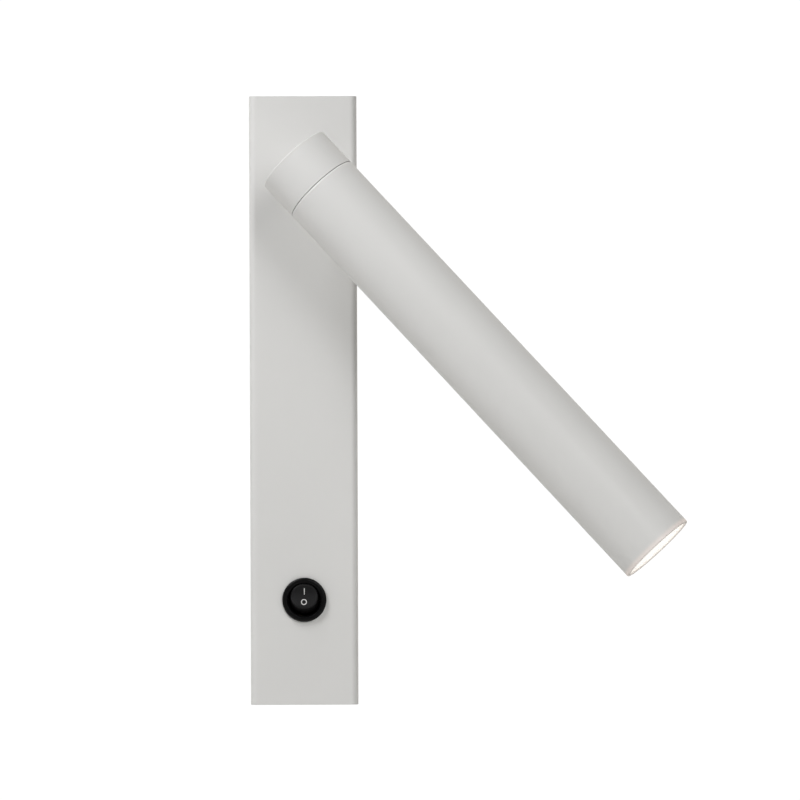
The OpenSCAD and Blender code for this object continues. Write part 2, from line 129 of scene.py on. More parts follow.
# %% Light the studio
FRONT_GLOW, BACK_GLOW, SEEN_GLOW = 0.02, 1.05, 1.05
bpy.context.scene.view_settings.view_transform = "Standard"
world = bpy.data.worlds.new("studio")
bpy.context.scene.world = world
world.use_nodes = True
sky = world.node_tree
sky.nodes.clear()
direction = sky.nodes.new("ShaderNodeTexCoord")
split = sky.nodes.new("ShaderNodeSeparateXYZ")
sky.links.new(direction.outputs["Generated"], split.inputs[0])
towards_back = sky.nodes.new("ShaderNodeMapRange")
towards_back.inputs["To Min"].default_value = FRONT_GLOW
towards_back.inputs["To Max"].default_value = BACK_GLOW
sky.links.new(split.outputs["Y"], towards_back.inputs["Value"])
around = sky.nodes.new("ShaderNodeBackground")
around.inputs["Color"].default_value = (1.0, 0.965, 0.905, 1.0)
sky.links.new(towards_back.outputs[0], around.inputs["Strength"])
seen_white = sky.nodes.new("ShaderNodeBackground")
seen_white.inputs["Color"].default_value = (1.0, 1.0, 1.0, 1.0)
seen_white.inputs["Strength"].default_value = SEEN_GLOW
which_ray = sky.nodes.new("ShaderNodeLightPath")
either = sky.nodes.new("ShaderNodeMixShader")
sky_out = sky.nodes.new("ShaderNodeOutputWorld")
sky.links.new(which_ray.outputs["Is Camera Ray"], either.inputs["Fac"])
sky.links.new(around.outputs[0], either.inputs[1])
sky.links.new(seen_white.outputs[0], either.inputs[2])
sky.links.new(either.outputs[0], sky_out.inputs["Surface"])


def soft_box(name, azimuth, elevation, distance, size, power, colour):
    """A square soft box aimed at the middle of the lamp. Azimuth is to the right, seen from in front."""
    lamp = bpy.data.lights.new(name, "AREA")
    lamp.size = size
    lamp.energy = power
    lamp.color = colour
    a, e = math.radians(azimuth), math.radians(elevation)
    away = Vector((math.sin(a) * math.cos(e), -math.cos(a) * math.cos(e), math.sin(e)))
    box = bpy.data.objects.new(name, lamp)
    bpy.context.scene.collection.objects.link(box)
    box.location = away * distance
    box.rotation_euler = away.to_track_quat("Z", "Y").to_euler()
    box.visible_camera = False
    return box


KEY = (1.0, 0.996, 0.990)
WHITE = (1.0, 1.0, 1.0)
WARM = (1.0, 0.98, 0.93)
soft_box("soft_box_near_left", -45, 35, 0.9, 0.22, 2.35, KEY)
soft_box("soft_box_high_left", -50, 57, 2.0, 0.6, 13.6, KEY)
soft_box("soft_box_low_left", -70, 5, 2.0, 0.8, 3.2, KEY)
soft_box("soft_box_front_right", 19, 20, 2.0, 0.6, 7.9, WHITE)
soft_box("soft_box_low_right", 42, 8, 2.0, 0.45, 2.7, WARM)
soft_box("soft_box_high_right", 60, 40, 2.0, 0.8, 3.3, WARM)

# %% [markdown]
# ## The floor
# A pale disc well below the lamp catches a little light from above, as a studio floor does. It ends
# about a metre behind the wall plane, because the picture shows nothing but white.

# %% Lay the floor
FLOOR_Z = -0.30
FLOOR_R = 0.95
floor_mesh = bpy.data.meshes.new("floor")
bm = bmesh.new()
bmesh.ops.create_circle(bm, cap_ends=True, radius=FLOOR_R, segments=160)
bm.to_mesh(floor_mesh)
bm.free()
floor = bpy.data.objects.new("floor", floor_mesh)
floor.location = (0.0, 0.0, FLOOR_Z)
bpy.context.scene.collection.objects.link(floor)

# %% [markdown]
# ## A kit for finishes
# Every finish below is a Principled shader with a few texture nodes in front of it. These helpers
# keep that short. `node` makes one node and fills its sockets, by a link where it is given a socket
# and by a number otherwise. `grain` is a cloudy noise with the size of its spots given in
# millimetres, `remap` turns its values into another range, and `relief` makes a bump of a real depth.
# The texture is laid out in the piece's own metres, so it stays on the piece when the lamp moves.

# %% Helpers for finishes
def node(tree, kind, inputs=None, **settings):
    """A new node of that kind. A socket given as an input is linked, and any other value is set."""
    made = tree.nodes.new(kind)
    for key, value in settings.items():
        setattr(made, key, value)
    for key, value in (inputs or {}).items():
        if isinstance(value, bpy.types.NodeSocket):
            tree.links.new(value, made.inputs[key])
        else:
            made.inputs[key].default_value = value
    return made


def new_finish(name, **sockets):
    """A material with its shader's own sockets set. Returns the material, its tree and its shader."""
    material = bpy.data.materials.new(name)
    material.use_nodes = True
    shader = material.node_tree.nodes["Principled BSDF"]
    for key, value in sockets.items():
        shader.inputs[key.replace("_", " ")].default_value = value
    return material, material.node_tree, shader


def own_metres(tree, stretch=(1.0, 1.0, 1.0)):
    """The place on the piece in its own metres, pulled out along an axis where stretch is under 1."""
    place = node(tree, "ShaderNodeTexCoord").outputs["Object"]
    if stretch == (1.0, 1.0, 1.0):
        return place
    return node(tree, "ShaderNodeMapping", {"Vector": place, "Scale": stretch}).outputs["Vector"]


def grain(tree, where, size_mm, detail=2.0):
    """Cloudy noise from 0 to 1, with spots of about that size."""
    return node(tree, "ShaderNodeTexNoise",
                {"Vector": where, "Scale": 1.0 / (size_mm * MM), "Detail": detail}).outputs["Fac"]


def remap(tree, value, low, high, smooth=False, source=(0.3, 0.7)):
    """Values over the source range become values from low to high."""
    sockets = {"Value": value, "From Min": source[0], "From Max": source[1], "To Min": low, "To Max": high}
    how = "SMOOTHSTEP" if smooth else "LINEAR"
    return node(tree, "ShaderNodeMapRange", sockets, interpolation_type=how).outputs["Result"]


def blend_colours(tree, share, first, second):
    """The first colour where share is 0, the second where it is 1."""
    # the node keeps the sockets for plain numbers too, so the colour ones are known by their place
    return node(tree, "ShaderNodeMix", {0: share, 6: first, 7: second}, data_type="RGBA").outputs[2]


def relief(tree, shader, height, depth_mm, under=None):
    """Adds a bump of that depth to the shader, over another one if it is given."""
    made = node(tree, "ShaderNodeBump", {"Height": height, "Distance": depth_mm * MM, "Strength": 1.0})
    if under is not None:
        tree.links.new(under, made.inputs["Normal"])
    tree.links.new(made.outputs["Normal"], shader.inputs["Normal"])
    return made.outputs["Normal"]


def into(tree, value, shader, socket):
    """Feeds a value or a colour into one socket of the shader."""
    tree.links.new(value, shader.inputs[socket])


print("the helpers for finishes are ready")

# %% [markdown]
# ## White powder coat
# The cover, tube, cap and stem are painted with a fine white powder coat. Melted powder never flows
# out quite flat: it keeps a soft waviness a millimetre or two across, called orange peel, with a much
# finer grain on top. A picture of paint could be wrapped round the pieces, but it would have a seam on
# the tube. Noise in the piece's own space has none, so two layers of it make the bump. The sheen
# varies a little from spot to spot. Sharp edges are painted a touch paler, a painted highlight where
# their rounding would catch the light. The lens end of the tube and the ring round the lens also get a
# faint painted glow, which stands in for the light of the lit lens that spills over their edges.

# %% Powder coat
PAINT = (0.793, 0.793, 0.786)
# the paler paint of the painted highlight on sharp edges
EDGE_HIGHLIGHT_PAINT = (0.86, 0.858, 0.845)
# colours of the painted glow on the tube's lens end and on the lens ring, which stands in for spilt lens light
RIM_SPILL = (0.125, 0.075, 0.055)
RING_SPILL = (0.31, 0.28, 0.25)


def powder_coat(name, rim_z=None, spill=RIM_SPILL):
    """White paint with painted edge highlights. With rim_z a painted glow for spilt light lies just above that
    height.
    """
    material, tree, shader = new_finish(name, Specular_IOR_Level=0.42)
    where = own_metres(tree)
    cloud = grain(tree, where, 38.0, 1.0)
    tone = blend_colours(tree, remap(tree, cloud, 0.0, 1.0),
                         (*(0.992 * c for c in PAINT), 1.0), (*(1.004 * c for c in PAINT), 1.0))
    # painted highlight: sharp edges, found by pointiness, get paler paint where their rounding would catch the
    # light
    edge = node(tree, "ShaderNodeNewGeometry").outputs["Pointiness"]
    painted_edge_highlight = remap(tree, edge, 0.0, 1.0, smooth=True, source=(0.62, 0.75))
    into(tree, blend_colours(tree, painted_edge_highlight, tone, (*EDGE_HIGHLIGHT_PAINT, 1.0)), shader, "Base Color")
    fine = grain(tree, where, 0.35, 2.0)
    into(tree, remap(tree, fine, 0.40, 0.52), shader, "Roughness")
    peel = relief(tree, shader, grain(tree, where, 1.6, 1.0), 0.009)
    relief(tree, shader, fine, 0.003, under=peel)
    # painted glow: emission on the paint just above rim_z stands in for light that spills from the lit lens
    if rim_z is not None:
        height = node(tree, "ShaderNodeSeparateXYZ", {"Vector": where}).outputs["Z"]
        fades = remap(tree, height, 1.0, 0.0, smooth=True, source=(rim_z + 0.9 * MM, rim_z + 3.2 * MM))
        starts = remap(tree, height, 0.0, 1.0, smooth=True, source=(rim_z - 0.4 * MM, rim_z + 0.4 * MM))
        share = node(tree, "ShaderNodeMath", {0: fades, 1: starts}, operation="MULTIPLY").outputs[0]
        into(tree, share, shader, "Emission Strength")
        shader.inputs["Emission Color"].default_value = (*spill, 1.0)
    return material


white_paint = powder_coat("white_powder_coat")
print("made", white_paint.name)

# %% [markdown]
# ## Metals
# Zinc plated steel is bright but not a mirror: the plating has a cloudy, faintly blue skin and fine
# rolling scratches. Machined aluminium is paler, with tool marks. Brass is warm and tarnishes in
# patches. Each could have a shader of its own, but all three are the same recipe with other numbers: a
# metal base colour that drifts between two tones, a roughness that follows the same clouds, and
# scratches that are noise pulled out along one axis.

# %% Zinc, aluminium and brass
def plain_metal(name, bright, dull, rough, scratch_along, cloud_mm=4.0, scratch_mm=0.12):
    """Metal that drifts between two tones, with scratches pulled out along scratch_along."""
    material, tree, shader = new_finish(name, Metallic=1.0)
    where = own_metres(tree)
    clouds = grain(tree, where, cloud_mm, 3.0)
    into(tree, blend_colours(tree, remap(tree, clouds, 0.0, 1.0), (*bright, 1.0), (*dull, 1.0)),
         shader, "Base Color")
    lines = grain(tree, own_metres(tree, scratch_along), scratch_mm, 2.0)
    both = node(tree, "ShaderNodeMath", {0: clouds, 1: lines}, operation="MULTIPLY").outputs[0]
    into(tree, remap(tree, both, rough[0], rough[1], source=(0.12, 0.42)), shader, "Roughness")
    relief(tree, shader, lines, 0.003)
    return material


zinc = plain_metal("zinc_plate", (0.70, 0.72, 0.74), (0.56, 0.57, 0.56), (0.26, 0.44), (1.0, 1.0, 0.04))
aluminium = plain_metal("machined_aluminium", (0.80, 0.81, 0.82), (0.72, 0.73, 0.74), (0.28, 0.42),
                        (0.05, 1.0, 1.0), cloud_mm=9.0)
brass = plain_metal("plain_brass", (0.83, 0.63, 0.31), (0.60, 0.43, 0.20), (0.22, 0.42), (1.0, 0.06, 1.0),
                    cloud_mm=2.5)
print("made", zinc.name, aluminium.name, brass.name)

# %% [markdown]
# ## Plastics, rubber and ink
# Moulded plastic takes the skin of its mould. The switch's mould was spark eroded, which leaves tiny
# craters, so the rocker looks satin. Its bezel is smoother and a deeper black. Nylon and the driver's
# case are smooth, and rubber is dull and slightly bloomed. The printed marks are thin ink with a grainy
# face. The craters could be real dents in the mesh, but at a quarter of a millimetre a bump does as
# well. One recipe serves them all: a base tone with faint mottling, a varied roughness, and a bump
# whose grain is the mould's texture.

# %% Moulded finishes
def moulded(name, colour, mottle, rough, texture_mm, depth_mm, mottle_mm=6.0, **sockets):
    """A plastic, rubber or ink: mottle is how far its tone drifts, texture_mm the grain of its skin."""
    material, tree, shader = new_finish(name, **sockets)
    where = own_metres(tree)
    patches = remap(tree, grain(tree, where, mottle_mm, 2.0), 0.0, 1.0)
    light = tuple(min(1.0, c * (1 + mottle)) for c in colour)
    dark = tuple(c * (1 - mottle) for c in colour)
    into(tree, blend_colours(tree, patches, (*dark, 1.0), (*light, 1.0)), shader, "Base Color")
    skin = grain(tree, where, texture_mm, 3.0)
    into(tree, remap(tree, skin, rough[0], rough[1]), shader, "Roughness")
    relief(tree, shader, skin, depth_mm)
    return material


rocker_black = moulded("black_spark_texture", (0.0048, 0.0048, 0.0056), 0.25, (0.44, 0.60), 0.26, 0.030,
                       Specular_IOR_Level=0.26)
bezel_black = moulded("black_satin_moulding", (0.003, 0.003, 0.0034), 0.20, (0.26, 0.40), 0.30, 0.020,
                      Specular_IOR_Level=0.19)
mark_ink = moulded("white_mark_ink", (0.72, 0.72, 0.72), 0.05, (0.50, 0.62), 0.12, 0.006, mottle_mm=0.5)
white_plastic = moulded("white_moulding", (0.80, 0.795, 0.76), 0.02, (0.30, 0.40), 0.6, 0.008)
nylon = moulded("natural_nylon", (0.80, 0.79, 0.74), 0.03, (0.28, 0.38), 0.8, 0.006,
                Subsurface_Weight=0.15, Subsurface_Scale=0.002)
rubber = moulded("soft_rubber", (0.018, 0.018, 0.019), 0.25, (0.62, 0.80), 0.30, 0.014, mottle_mm=2.0)
board_mask = moulded("white_solder_mask", (0.82, 0.82, 0.79), 0.015, (0.22, 0.30), 1.2, 0.004)
reflector_white = moulded("white_reflector", (0.90, 0.90, 0.885), 0.01, (0.12, 0.20), 2.5, 0.006)
print("made", [m.name for m in (rocker_black, bezel_black, mark_ink, white_plastic, nylon, rubber)])

# %% [markdown]
# ## Wires
# Wire insulation is soft PVC drawn through a die, so it is smooth and a little glossy. The earth lead
# is green with a yellow stripe. The stripe could be a second material on some of the faces, but the
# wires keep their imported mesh, so slanting bands of a wave texture make it.

# %% Wire insulation
def insulation(name, colour, stripe=None):
    """Soft wire insulation, with a second colour in slanting bands where a stripe is given."""
    material = moulded(name, colour, 0.06, (0.30, 0.42), 0.25, 0.004, mottle_mm=3.0)
    if stripe:
        tree = material.node_tree
        shader = tree.nodes["Principled BSDF"]
        band = node(tree, "ShaderNodeTexWave", {"Vector": own_metres(tree), "Scale": 120.0},
                    bands_direction="DIAGONAL").outputs["Fac"]
        ground = shader.inputs["Base Color"].links[0].from_socket
        edge = remap(tree, band, 0.0, 1.0, source=(0.60, 0.66))
        into(tree, blend_colours(tree, edge, ground, (*stripe, 1.0)), shader, "Base Color")
    return material


wires = {
    "wire_brown": insulation("brown_insulation", (0.095, 0.035, 0.015)),
    "wire_black": insulation("black_insulation", (0.012, 0.012, 0.013)),
    "wire_blue": insulation("blue_insulation", (0.020, 0.085, 0.36)),
    "wire_green_yellow": insulation("earth_insulation", (0.035, 0.24, 0.045), (0.72, 0.62, 0.03)),
    "wire_red": insulation("red_insulation", (0.42, 0.016, 0.012)),
    "cable_grey": insulation("grey_sheath", (0.16, 0.16, 0.165)),
}
print("made", len(wires), "kinds of insulation")

# %% [markdown]
# ## Lit finishes
# The lamp is on. Opal acrylic spreads the light of the LEDs into an even white disc that falls off and
# turns a little warm towards its rim, where less light reaches. Light could be sent through a milky
# solid, but that is slow and grainy. Here the lens itself glows, and the distance from the axis decides
# how strongly and how warm. The LEDs behind it have a yellow phosphor that glows as well.

# %% Opal lens and phosphor
def opal(name, rim_r):
    """Lit opal acrylic that dims and warms towards a rim at that distance from the axis."""
    material, tree, shader = new_finish(name, Roughness=0.35, IOR=1.49)
    where = own_metres(tree)
    flat = node(tree, "ShaderNodeVectorMath", {0: where, 1: (1.0, 1.0, 0.0)}, operation="MULTIPLY")
    from_axis = node(tree, "ShaderNodeVectorMath", {0: flat.outputs[0]}, operation="LENGTH")
    rim = remap(tree, from_axis.outputs["Value"], 0.0, 1.0, smooth=True, source=(0.72 * rim_r, rim_r))
    into(tree, blend_colours(tree, rim, (1.0, 0.985, 0.95, 1.0), (1.0, 0.92, 0.84, 1.0)), shader,
         "Emission Color")
    into(tree, remap(tree, rim, 0.56, 0.48, source=(0.0, 1.0)), shader, "Emission Strength")
    milky = grain(tree, where, 1.5, 2.0)
    into(tree, blend_colours(tree, milky, (0.86, 0.855, 0.84, 1.0), (0.90, 0.895, 0.88, 1.0)), shader,
         "Base Color")
    relief(tree, shader, milky, 0.004)
    return material


phosphor = moulded("lit_phosphor", (0.80, 0.62, 0.16), 0.05, (0.40, 0.55), 0.15, 0.010, mottle_mm=0.8,
                   Emission_Color=(1.0, 0.80, 0.45, 1.0), Emission_Strength=4.0)
print("made", phosphor.name)

# %% [markdown]
# ## A lathe
# Most of the lamp's pieces are turned, so `turned` does the work of a lathe: it takes half of the
# section, as points of radius and height, and runs it round the axis. A Screw modifier could do that
# too, but the plain mesh is ready to be carved. Real edges are never quite sharp, so `filleted` first
# rounds each corner of the section that has a third number, its radius.

# %% Lathe
def filleted(outline, steps=4):
    """The section with each corner that gives a radius turned into an arc."""
    rounded = []
    count = len(outline)
    for i, corner in enumerate(outline):
        here = Vector(corner[:2])
        radius = corner[2] if len(corner) > 2 else 0.0
        if not radius:
            rounded.append(tuple(here))
            continue
        back = (Vector(outline[i - 1][:2]) - here).normalized()
        ahead = (Vector(outline[(i + 1) % count][:2]) - here).normalized()
        half = back.angle(ahead) / 2
        centre = here + (back + ahead).normalized() * (radius / math.sin(half))
        start = here + back * (radius / math.tan(half)) - centre
        end = here + ahead * (radius / math.tan(half)) - centre
        sweep = math.pi - 2 * half
        for k in range(steps + 1):
            t = k / steps
            arm = (start * math.sin((1 - t) * sweep) + end * math.sin(t * sweep)) / math.sin(sweep)
            rounded.append(tuple(centre + arm))
    return rounded


def turned(name, outline, steps=144):
    """A closed mesh with the section's (radius, height) points run round the Z axis."""
    bm = bmesh.new()
    rings = []
    for r, z in outline:
        if r < 1e-9:
            rings.append([bm.verts.new((0.0, 0.0, z))] * steps)
            continue
        angles = (2 * math.pi * k / steps for k in range(steps))
        rings.append([bm.verts.new((r * math.cos(a), r * math.sin(a), z)) for a in angles])
    for low, high in zip(rings, rings[1:] + rings[:1]):
        for k in range(steps):
            j = (k + 1) % steps
            corners = list(dict.fromkeys((low[k], low[j], high[j], high[k])))
            if len(corners) > 2:
                bm.faces.new(corners)
    return to_mesh(name, bm)


def to_mesh(name, bm):
    """Turns the working mesh into a finished one, with every face looking outwards."""
    bmesh.ops.recalc_face_normals(bm, faces=bm.faces)
    mesh = bpy.data.meshes.new(name)
    bm.to_mesh(mesh)
    bm.free()
    return mesh


print("the lathe is ready")

# %% [markdown]
# ## From mesh to piece
# A mesh is not yet a piece of the lamp. `in_scene` makes it an object at its place. `crisp` rounds its
# sharp edges a little and shades the rest smooth, with weighted normals that keep flat faces flat.
# `dress` gives it one material and its body, and hides the imported nodes it stands for.

# %% Helpers for pieces
def in_scene(name, mesh, place=Matrix.Identity(4)):
    """An object with that mesh at that place."""
    piece = bpy.data.objects.new(name, mesh)
    bpy.context.scene.collection.objects.link(piece)
    piece.matrix_world = place
    return piece


def crisp(piece, bevel_mm=0.0, angle=38.0, segments=3):
    """Rounds the sharp edges a little and shades the rest smooth."""
    if bevel_mm:
        edges = piece.modifiers.new("soft_edges", "BEVEL")
        edges.width = bevel_mm * MM
        edges.segments = segments
        edges.limit_method = "ANGLE"
        edges.angle_limit = math.radians(angle)
    piece.data.shade_smooth()
    weighted = piece.modifiers.new("even_shading", "WEIGHTED_NORMAL")
    weighted.weight = 100
    weighted.keep_sharp = True
    return piece


def dress(piece, body, stands_for, material):
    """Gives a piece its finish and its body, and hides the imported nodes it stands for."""
    piece.data.materials.clear()
    piece.data.materials.append(material)
    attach(piece, body)
    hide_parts(*stands_for)
    print(piece.name, "has", len(piece.data.polygons), "faces and rides on", body)
    return piece


# %% [markdown]
# ## The cover
# The cover is one sheet of 1.5 mm steel: a front, two long folds, two sides, and an end at the top and
# the bottom. It could be a box with a bevel and a solidify modifier, but then the round holes for the
# stem and the switch would leave ragged faces in the flat front. Here the skin is laid out as panels
# of small quads instead, with a ring of quads round each hole, so everything meets corner to corner.
# Each outer point has a partner on the inside of the sheet. Where the skin ends, at a hole or at the
# rear, the two are joined, and that closes the sheet.

# %% The sheet's two skins
FOLD_R = 3.5 * MM
COLUMN = 1.5 * MM
flat_half = half_width - FOLD_R
fold_y = face_y + FOLD_R
skin, partner, quads, known = [], [], [], {}


def inside(p):
    """The point on the inner face of the sheet that lies behind an outer point."""
    axis = Vector((max(-flat_half, min(flat_half, p.x)), max(fold_y, p.y), 0))
    arm = Vector((p.x, p.y, 0)) - axis
    q = axis + arm * ((FOLD_R - sheet) / FOLD_R)
    at_end = abs(p.z) > half_height - sheet / 2
    q.z = math.copysign(half_height - sheet, p.z) if at_end else p.z
    return q


def corner(p, q=None):
    """The number of an outer point, which is new only once."""
    key = tuple(round(c / (0.0001 * MM)) for c in p)
    if key not in known:
        known[key] = len(skin)
        skin.append(Vector(p))
        partner.append(q or inside(Vector(p)))
    return known[key]


def steps_between(*parts):
    """Even steps from the first value through each (value, count) that follows."""
    values = [parts[0]]
    for value, count in parts[1:]:
        start = values[-1]
        values += [start + (value - start) * (k + 1) / count for k in range(count)]
    return values


def panel(us, vs, place, holes=()):
    """Quads between the stations, with a ring of them round each (u, v, half, radius, inner radius)."""
    for u0, u1 in zip(us, us[1:]):
        for v0, v1 in zip(vs, vs[1:]):
            u, v = (u0 + u1) / 2, (v0 + v1) / 2
            if not any(max(abs(u - h[0]), abs(v - h[1])) < h[2] for h in holes):
                quads.append([corner(place(*c)) for c in ((u0, v0), (u1, v0), (u1, v1), (u0, v1))])
    for u, v, half, radius, inner in holes:
        across = [s for s in us if abs(s - u) < half + 0.01 * MM]
        along = [s for s in vs if abs(s - v) < half + 0.01 * MM]
        border = [(s, along[0]) for s in across[:-1]] + [(across[-1], s) for s in along[:-1]]
        border += [(s, along[-1]) for s in across[:0:-1]] + [(across[0], s) for s in along[:0:-1]]
        ring = []
        for b in border:
            d = Vector((b[0] - u, b[1] - v)).normalized()
            rim = inside(Vector(place(u + d.x * inner, v + d.y * inner)))
            ring.append(corner(place(u + d.x * radius, v + d.y * radius), rim))
        for k in range(len(border)):
            j = (k + 1) % len(border)
            quads.append([corner(place(*border[k])), corner(place(*border[j])), ring[j], ring[k]])


print("helpers for the sheet are ready")

# %% [markdown]
# The front is laid out first, with a patch of finer steps round the stem's hole and one round the
# switch's. The long folds, the sides and the two ends with their screw holes follow. Panels that meet
# have the same steps along the edge they share, so both use the same points and no gap is left.

# %% Lay out the cover's panels
HOLE_PATCH = 24.0 * MM
stem_hole_r = 6.3 * MM
switch_hole_r = 10.05 * MM
switch_z = Vector(joints["switch_rocker"]["pos_m"]).z
swivel_z = pin_at.z
screw_low, screw_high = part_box("cover_screws")
screw_y = (screw_low.y + screw_high.y) / 2
screw_patch = 4 * COLUMN
screw_head_r = (screw_high.x - screw_low.x) / 2
sink_r = screw_head_r + 0.1 * MM
screw_hole_r = 1.65 * MM

across = steps_between(-flat_half, (flat_half, round(2 * flat_half / COLUMN)))
up = steps_between(-half_height, (switch_z - HOLE_PATCH, 5), (switch_z + HOLE_PATCH, 32),
                   (swivel_z - HOLE_PATCH, 16), (swivel_z + HOLE_PATCH, 32), (half_height, 3))
deep = steps_between(fold_y, (screw_y - screw_patch, 4), (screw_y + screw_patch, 8), (rear_y, 1))
fold = steps_between(0.0, (math.pi / 2, 10))

panel(across, up, lambda u, v: (u, face_y, v),
      [(0.0, swivel_z, HOLE_PATCH, stem_hole_r, stem_hole_r),
       (0.0, switch_z, HOLE_PATCH, switch_hole_r, switch_hole_r)])
for side in (-1, 1):
    def round_fold(a, z):
        return (side * (flat_half + FOLD_R * math.sin(a)), fold_y - FOLD_R * math.cos(a), z)

    panel(fold, up, round_fold)
    panel(deep, up, lambda y, z: (side * half_width, y, z))
    end_z = side * half_height
    panel(across, [face_y, fold_y], lambda u, v: (u, v, end_z))
    panel(across, deep, lambda u, v: (u, v, end_z),
          [(0.0, screw_y, screw_patch, sink_r, screw_hole_r)])
    for wing in (-1, 1):
        panel([flat_half, half_width], deep, lambda u, v: (wing * u, v, end_z))
        middle = corner((wing * flat_half, fold_y, end_z))
        rim = [corner((wing * (flat_half + FOLD_R * math.sin(a)), fold_y - FOLD_R * math.cos(a), end_z))
               for a in fold]
        quads += [[middle, a, b] for a, b in zip(rim, rim[1:])]
print("the cover's outer skin has", len(skin), "points and", len(quads), "faces")

# %% [markdown]
# The skin and its partners become one mesh now. An edge that only one face uses is an open edge, so
# it gets a face across the thickness of the sheet. At the two screw holes that face is split in two,
# a slope for the screw's head and a short straight land below it.

# %% Close the sheet
SINK_DEPTH = 1.25 * MM
bm = bmesh.new()
outer = [bm.verts.new(p) for p in skin]
inner = [bm.verts.new(p) for p in partner]
uses = {}
for q in quads:
    bm.faces.new([outer[i] for i in q])
    bm.faces.new([inner[i] for i in reversed(q)])
    for a, b in zip(q, q[1:] + q[:1]):
        uses.setdefault(frozenset((a, b)), []).append((a, b))
lands = {}
for found in uses.values():
    if len(found) == 2:
        continue
    a, b = found[0]
    at_end = abs(skin[a].z) > half_height - sheet / 2
    at_rear = skin[a].y > rear_y - 0.1 * MM
    slanting = (skin[a] - partner[a]).xy.length > 0.5 * MM
    if at_rear or not (at_end and slanting):
        bm.faces.new([outer[b], outer[a], inner[a], inner[b]])
        continue
    for i in (a, b):
        if i not in lands:
            land = partner[i].copy()
            land.z = math.copysign(half_height - SINK_DEPTH, land.z)
            lands[i] = bm.verts.new(land)
    bm.faces.new([outer[b], outer[a], lands[a], lands[b]])
    bm.faces.new([lands[b], lands[a], inner[a], inner[b]])
cover = crisp(in_scene("cover", to_mesh("cover", bm)), bevel_mm=0.28)
dress(cover, "base", ["front_cover"], white_paint)

# %% [markdown]
# ## The head
# The tube is a length of stock aluminium tube with a turned rim at each end. A cylinder with a Bevel
# modifier would give every edge the same softness, but on the lathe each corner of the section has a
# radius of its own. The tube is drawn upright on its own axis, with the hinge pin at zero, and the
# object is then placed at the head's slant. Its finish can so tell the lens end by height alone.

# %% Tube, lens ring and lens
ring_r, ring_low, ring_high = spans("lens_ring", head_place)
lens_r, lens_low, lens_high = spans("diffuser", head_place)
BORE_GAP = 0.45 * MM
CHAMFER_IN, CHAMFER_DOWN = 0.3 * MM, 0.85 * MM
bore_r = lens_r + BORE_GAP
tube = turned("head_tube", filleted([
    (bore_r, tube_top, 0.1 * MM), (head_r - CHAMFER_IN, tube_top, 0.06 * MM),
    (head_r, tube_top - CHAMFER_DOWN, 0.4 * MM),
    (head_r, lens_z, 0.4 * MM), (bore_r, lens_z, 0.2 * MM),
]))
# the tube's paint carries the painted glow of spilt lens light at its lens end
dress(crisp(in_scene("tube", tube, head_place)), "head", ["head_tube"],
      powder_coat("white_powder_coat_lit_rim", lens_z))

LIP, SEAT_GAP = 0.9 * MM, 0.05 * MM
ring = turned("lens_ring", filleted([
    (ring_r, ring_low, 0.1 * MM), (ring_r - LIP, ring_low, 0.2 * MM),
    (ring_r - LIP, lens_low - SEAT_GAP), (lens_r + SEAT_GAP, lens_low - SEAT_GAP),
    (lens_r + SEAT_GAP, ring_high), (ring_r, ring_high),
]))
# the ring's paint carries the painted glow of spilt lens light near its lens end
dress(crisp(in_scene("front_ring", ring, head_place)), "head", ["lens_ring"],
      powder_coat("white_powder_coat_lit_ring", ring_low - MM, spill=RING_SPILL))

lens = turned("diffuser", filleted([(0.0, lens_low), (lens_r, lens_low, 0.3 * MM),
                                    (lens_r, lens_high, 0.3 * MM), (0.0, lens_high)]))
dress(crisp(in_scene("opal_lens", lens, head_place)), "head", ["diffuser"],
      opal("lit_opal", lens_r))

# %% [markdown]
# ## The rear cap
# The cap closes the tube and holds the hinge pin. It is turned from solid, with a spigot that slips
# into the tube, and a fine gap is left between the two as the seam in the picture. A slot is then
# milled into it from the wall side and the rear for the tongue of the stem. The turned mesh is made
# first and the slot, the pin's bore and the cable's hole are carved out of it with booleans, just as
# the milling machine would do it.

# %% Tools to carve with
def carve(piece, *cutters, how="DIFFERENCE"):
    """Cuts the cutters out of a piece for good, or fuses them on, and throws the cutters away."""
    for cutter in cutters:
        cut = piece.modifiers.new("cut", "BOOLEAN")
        cut.operation = how
        cut.solver = "EXACT"
        cut.object = cutter
    bpy.context.view_layer.update()
    whole = piece.evaluated_get(bpy.context.evaluated_depsgraph_get())
    carved = bpy.data.meshes.new_from_object(whole)
    piece.modifiers.clear()
    piece.data = carved
    for cutter in cutters:
        bpy.data.objects.remove(cutter)
    return piece


def bar(name, radius, length, place, steps=96):
    """A plain round bar to cut with."""
    half = length / 2
    section = [(0, -half), (radius, -half), (radius, half), (0, half)]
    return in_scene(name, turned(name, section, steps), place)


def block(name, low, high, place=Matrix.Identity(4)):
    """A plain block to cut with, between two corners."""
    bm = bmesh.new()
    size = Vector(high) - Vector(low)
    middle = (Vector(high) + Vector(low)) / 2
    bmesh.ops.create_cube(bm, size=1.0, matrix=Matrix.Translation(middle) @ Matrix.Diagonal((*size, 1.0)))
    return in_scene(name, to_mesh(name, bm), place)


print("carve, bar and block are ready")

# %% [markdown]
# The slot is as wide as the tongue with a friction washer on each side. It is open to the wall side and
# to the rear, so the head can tilt from flat along the wall to straight out of it, and its floor is
# round, because it goes round the pin at an even distance.

# %% Rear cap
SEAM = 0.18 * MM
SPIGOT_LAND, SPIGOT_WALL = 2.0 * MM, 2.95 * MM
CAP_CHAMFER = 0.5 * MM
PIN_R, CABLE_HOLE_R, CABLE_OFF = 2.0 * MM, 2.1 * MM, 11.0 * MM
CABLE_HOLE_MIDDLE = -20.0 * MM
SLOT_FLOOR, SLOT_PLAY = 5.2 * MM, 0.05 * MM
cap_z = tube_top + SEAM
washer_out = max(abs(p.x) for p in (head_place.inverted() @ v.co
                                    for v in frame["nodes"]["friction_washers"].data.vertices))
slot_half = washer_out + SLOT_PLAY

